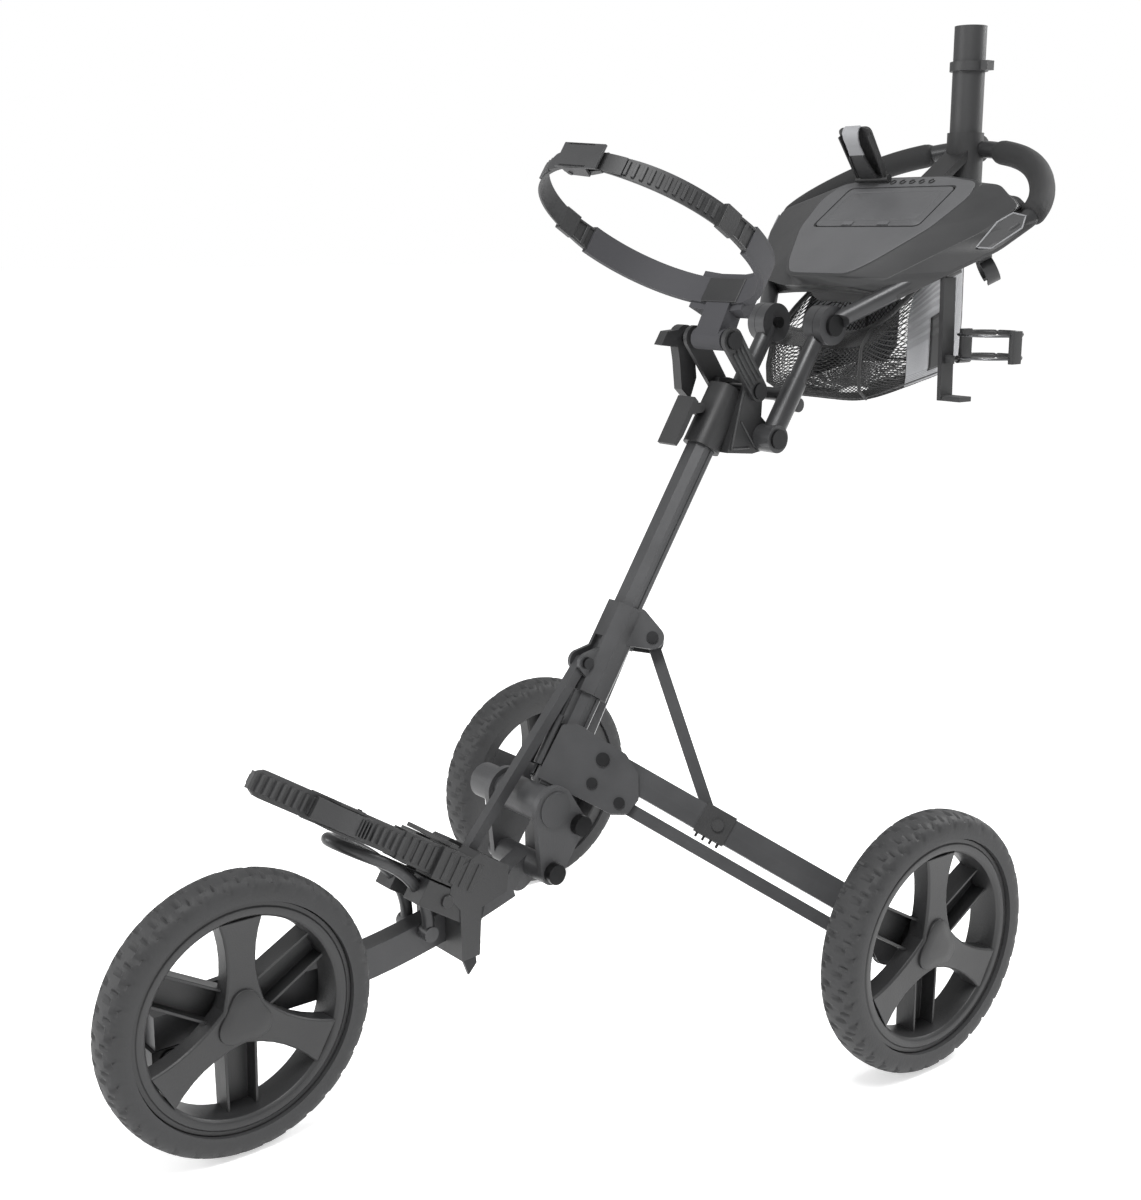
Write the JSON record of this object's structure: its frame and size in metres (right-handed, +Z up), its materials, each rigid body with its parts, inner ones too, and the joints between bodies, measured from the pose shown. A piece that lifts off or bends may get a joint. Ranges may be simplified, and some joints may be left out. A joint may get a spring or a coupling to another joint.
{
  "type": "golf push trolley",
  "caption": "Folding golf push trolley with spoked wheels, two-point bag cradle, adjustable loop handle, console, net bag, cup holder and umbrella tube.",
  "frame": {"origin": "on the ground, under the middle of the trolley's length and width, wheels down and handle up", "axes": "+Z up, +X to the trolley's left, -Y forwards, the way it is pushed"},
  "size_m": [0.762, 1.3088, 1.187],
  "materials": {
    "anodised": "satin",
    "steel_bolt": "satin",
    "plastic": "matte",
    "console_grey": "matte",
    "tyre": "matte",
    "wheel": "satin",
    "strap": "matte",
    "grip": "matte",
    "net": "woven",
    "bright_steel": "satin"
  },
  "bodies": {
    "frame": {"main_tube": "anodised", "pivot_housing": "anodised", "lock_rod": "anodised", "hinge_plates": "anodised", "hinge_bolts": "steel_bolt", "top_collar": "plastic", "hinge_block": "plastic", "bracket_links": "plastic", "pivot_bolts": "steel_bolt"},
    "left_leg": {"left_leg_beam": "anodised", "left_strut_sleeve": "plastic"},
    "right_leg": {"right_leg_beam": "anodised", "right_strut_sleeve": "plastic"},
    "left_rod": {"left_lower_rod": "anodised"},
    "right_rod": {"right_lower_rod": "anodised"},
    "left_carrier": {"left_wheel_carrier": "anodised", "left_axle": "bright_steel"},
    "right_carrier": {"right_wheel_carrier": "anodised", "right_axle": "bright_steel"},
    "left_road_wheel": {"left_tyre": "tyre", "left_wheel": "wheel", "left_bearings": "bright_steel"},
    "right_road_wheel": {"right_tyre": "tyre", "right_wheel": "wheel", "right_bearings": "bright_steel"},
    "front_road_wheel": {"front_tyre": "tyre", "front_wheel": "wheel", "front_bearings": "bright_steel"},
    "slider": {"slider_sleeve": "anodised", "slider_pins": "steel_bolt"},
    "left_strut_body": {"left_strut": "anodised"},
    "right_strut_body": {"right_strut": "anodised"},
    "brace_body": {"front_brace": "anodised"},
    "arm": {"front_arm": "anodised", "arm_casting": "anodised", "arm_bolts": "steel_bolt", "front_axle": "bright_steel", "tracking_adjuster": "plastic", "bag_rest": "anodised", "lower_saddle": "plastic", "lower_strap": "strap", "strap_hook": "anodised"},
    "cradle": {"upper_saddle": "plastic", "upper_strap": "strap"},
    "cam": {"cam_lever": "plastic"},
    "release": {"release_lever": "plastic"},
    "fork": {"handle_fork": "anodised", "bend_bolts": "steel_bolt"},
    "handle": {"handle_loop": "anodised", "handle_grips": "grip", "console_body": "plastic", "umbrella_mount": "plastic", "umbrella_tube": "plastic", "tube_clamp": "plastic", "cup_bracket": "plastic", "tube_clip": "plastic", "mesh_bag": "net"},
    "lid": {"console_lid": "console_grey"},
    "clip": {"scorecard_clip": "plastic"},
    "cup": {"cup_ring": "plastic"}
  },
  "joints": [
    {"name": "left_leg_fold", "type": "hinge", "parent": "frame", "child": "left_leg", "pos_m": [0.0392, -0.0228, 0.32], "axis": [0.6989, -0.6059, 0.3801], "range_deg": [0, 75.7]},
    {"name": "right_leg_fold", "type": "hinge", "parent": "frame", "child": "right_leg", "pos_m": [-0.0392, -0.0228, 0.32], "axis": [0.6989, 0.6059, -0.3801], "range_deg": [0, 75.8]},
    {"name": "slider_travel", "type": "slide", "parent": "frame", "child": "slider", "axis": [0, 0.5314, 0.8471], "range_m": [0, 0.2052]},
    {"name": "left_rod_swing", "type": "hinge", "parent": "frame", "child": "left_rod", "pos_m": [0.06619, -0.02043, 0.27414], "axis": [0.6989, -0.6059, 0.3801], "range_deg": [0, 75.8]},
    {"name": "right_rod_swing", "type": "hinge", "parent": "frame", "child": "right_rod", "pos_m": [-0.06619, -0.02043, 0.27414], "axis": [0.6989, 0.6059, -0.3801], "range_deg": [0, 75.8]},
    {"name": "left_carrier_swing", "type": "hinge", "parent": "left_leg", "child": "left_carrier", "pos_m": [0.28494, 0.16393, 0.16583], "axis": [0.6989, -0.6059, 0.3801], "range_deg": [-75.8, 0]},
    {"name": "right_carrier_swing", "type": "hinge", "parent": "right_leg", "child": "right_carrier", "pos_m": [-0.28494, 0.16393, 0.16583], "axis": [0.6989, 0.6059, -0.3801], "range_deg": [-75.8, 0]},
    {"name": "left_strut_swing", "type": "hinge", "parent": "slider", "child": "left_strut_body", "pos_m": [0.03426, 0.05562, 0.4541], "axis": [0.6989, -0.6059, 0.3801], "range_deg": [-28.3, 0]},
    {"name": "right_strut_swing", "type": "hinge", "parent": "slider", "child": "right_strut_body", "pos_m": [-0.03426, 0.05562, 0.4541], "axis": [0.6989, 0.6059, -0.3801], "range_deg": [-28.3, 0]},
    {"name": "front_arm_fold", "type": "hinge", "parent": "frame", "child": "arm", "pos_m": [0, -0.1022, 0.28], "axis": [-1, 0, 0], "range_deg": [0, 97.8]},
    {"name": "front_brace_swing", "type": "hinge", "parent": "slider", "child": "brace_body", "pos_m": [0, -0.0242, 0.432], "axis": [-1, 0, 0], "range_deg": [0, 14.8]},
    {"name": "left_wheel_spin", "type": "hinge", "parent": "left_carrier", "child": "left_road_wheel", "pos_m": [0.357, 0.1808, 0.15], "axis": [1, 0, 0], "continuous": true},
    {"name": "right_wheel_spin", "type": "hinge", "parent": "right_carrier", "child": "right_road_wheel", "pos_m": [-0.357, 0.1808, 0.15], "axis": [1, 0, 0], "continuous": true},
    {"name": "front_wheel_spin", "type": "hinge", "parent": "arm", "child": "front_road_wheel", "pos_m": [0.041, -0.5042, 0.15], "axis": [1, 0, 0], "continuous": true},
    {"name": "handle_fold", "type": "hinge", "parent": "frame", "child": "fork", "pos_m": [0, 0.2328, 0.679], "axis": [1, 0, 0], "range_deg": [-130, 0]},
    {"name": "handle_tilt", "type": "hinge", "parent": "fork", "child": "handle", "pos_m": [0, 0.3178, 0.812], "axis": [-1, 0, 0], "range_deg": [-30, 15]},
    {"name": "console_lid_hinge", "type": "hinge", "parent": "handle", "child": "lid", "pos_m": [0, 0.50571, 0.97997], "axis": [-1, 0, 0], "range_deg": [0, 70]},
    {"name": "scorecard_clip_hinge", "type": "hinge", "parent": "handle", "child": "clip", "pos_m": [-0.0575, 0.51413, 0.99244], "axis": [-1, 0, 0], "range_deg": [0, 25]},
    {"name": "cup_ring_fold", "type": "hinge", "parent": "handle", "child": "cup", "pos_m": [0.16, 0.4448, 0.772], "axis": [0, 1, 0], "range_deg": [0, 85]},
    {"name": "release_lever_pull", "type": "hinge", "parent": "frame", "child": "release", "pos_m": [0, 0.15466, 0.71767], "axis": [1, 0, 0], "range_deg": [0, 12]},
    {"name": "cradle_tilt", "type": "hinge", "parent": "frame", "child": "cradle", "pos_m": [0, 0.1758, 0.798], "axis": [1, 0, 0], "range_deg": [-10, 10]},
    {"name": "cam_lever_swing", "type": "hinge", "parent": "frame", "child": "cam", "pos_m": [-0.055, 0.1758, 0.798], "axis": [1, 0, 0], "range_deg": [-50, 0]}
  ],
  "couplings": [
    {"joint": "right_leg_fold", "follows": "left_leg_fold", "ratio": 1},
    {"joint": "slider_travel", "follows": "left_leg_fold", "m_per_rad": 0.15516},
    {"joint": "left_rod_swing", "follows": "left_leg_fold", "ratio": 1},
    {"joint": "right_rod_swing", "follows": "left_leg_fold", "ratio": 1},
    {"joint": "left_carrier_swing", "follows": "left_leg_fold", "ratio": -1},
    {"joint": "right_carrier_swing", "follows": "left_leg_fold", "ratio": -1},
    {"joint": "left_strut_swing", "follows": "left_leg_fold", "ratio": -0.3725},
    {"joint": "right_strut_swing", "follows": "left_leg_fold", "ratio": -0.3725},
    {"joint": "front_arm_fold", "follows": "left_leg_fold", "ratio": 1.2906},
    {"joint": "front_brace_swing", "follows": "left_leg_fold", "ratio": 0.1942}
  ]
}
